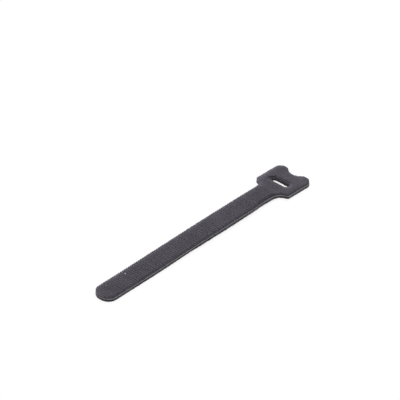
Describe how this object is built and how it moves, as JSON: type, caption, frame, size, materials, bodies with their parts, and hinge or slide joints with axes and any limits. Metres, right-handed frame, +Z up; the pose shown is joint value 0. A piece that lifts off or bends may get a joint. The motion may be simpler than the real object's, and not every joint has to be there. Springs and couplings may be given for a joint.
{
  "type": "hook and loop cable tie",
  "caption": "Flat strap that bundles cables: a rounded tail, and a wide notched head with a slot that the tail passes through, hook face up.",
  "frame": {"origin": "on the resting plane, midway between the tip of the tail and the tips of the head's ears", "axes": "+X along the strap towards the head, +Y across the strap, +Z up, away from the resting plane and out of the hook face"},
  "size_m": [0.15, 0.0224, 0.0037],
  "materials": {
    "loop_tape": "brushed nylon loop knit, matt black",
    "hook_tape": "moulded nylon hooks on a film, matt black"
  },
  "bodies": {
    "root": {"loop_tape": "loop_tape", "hook_tape": "hook_tape"}
  },
  "joints": []
}
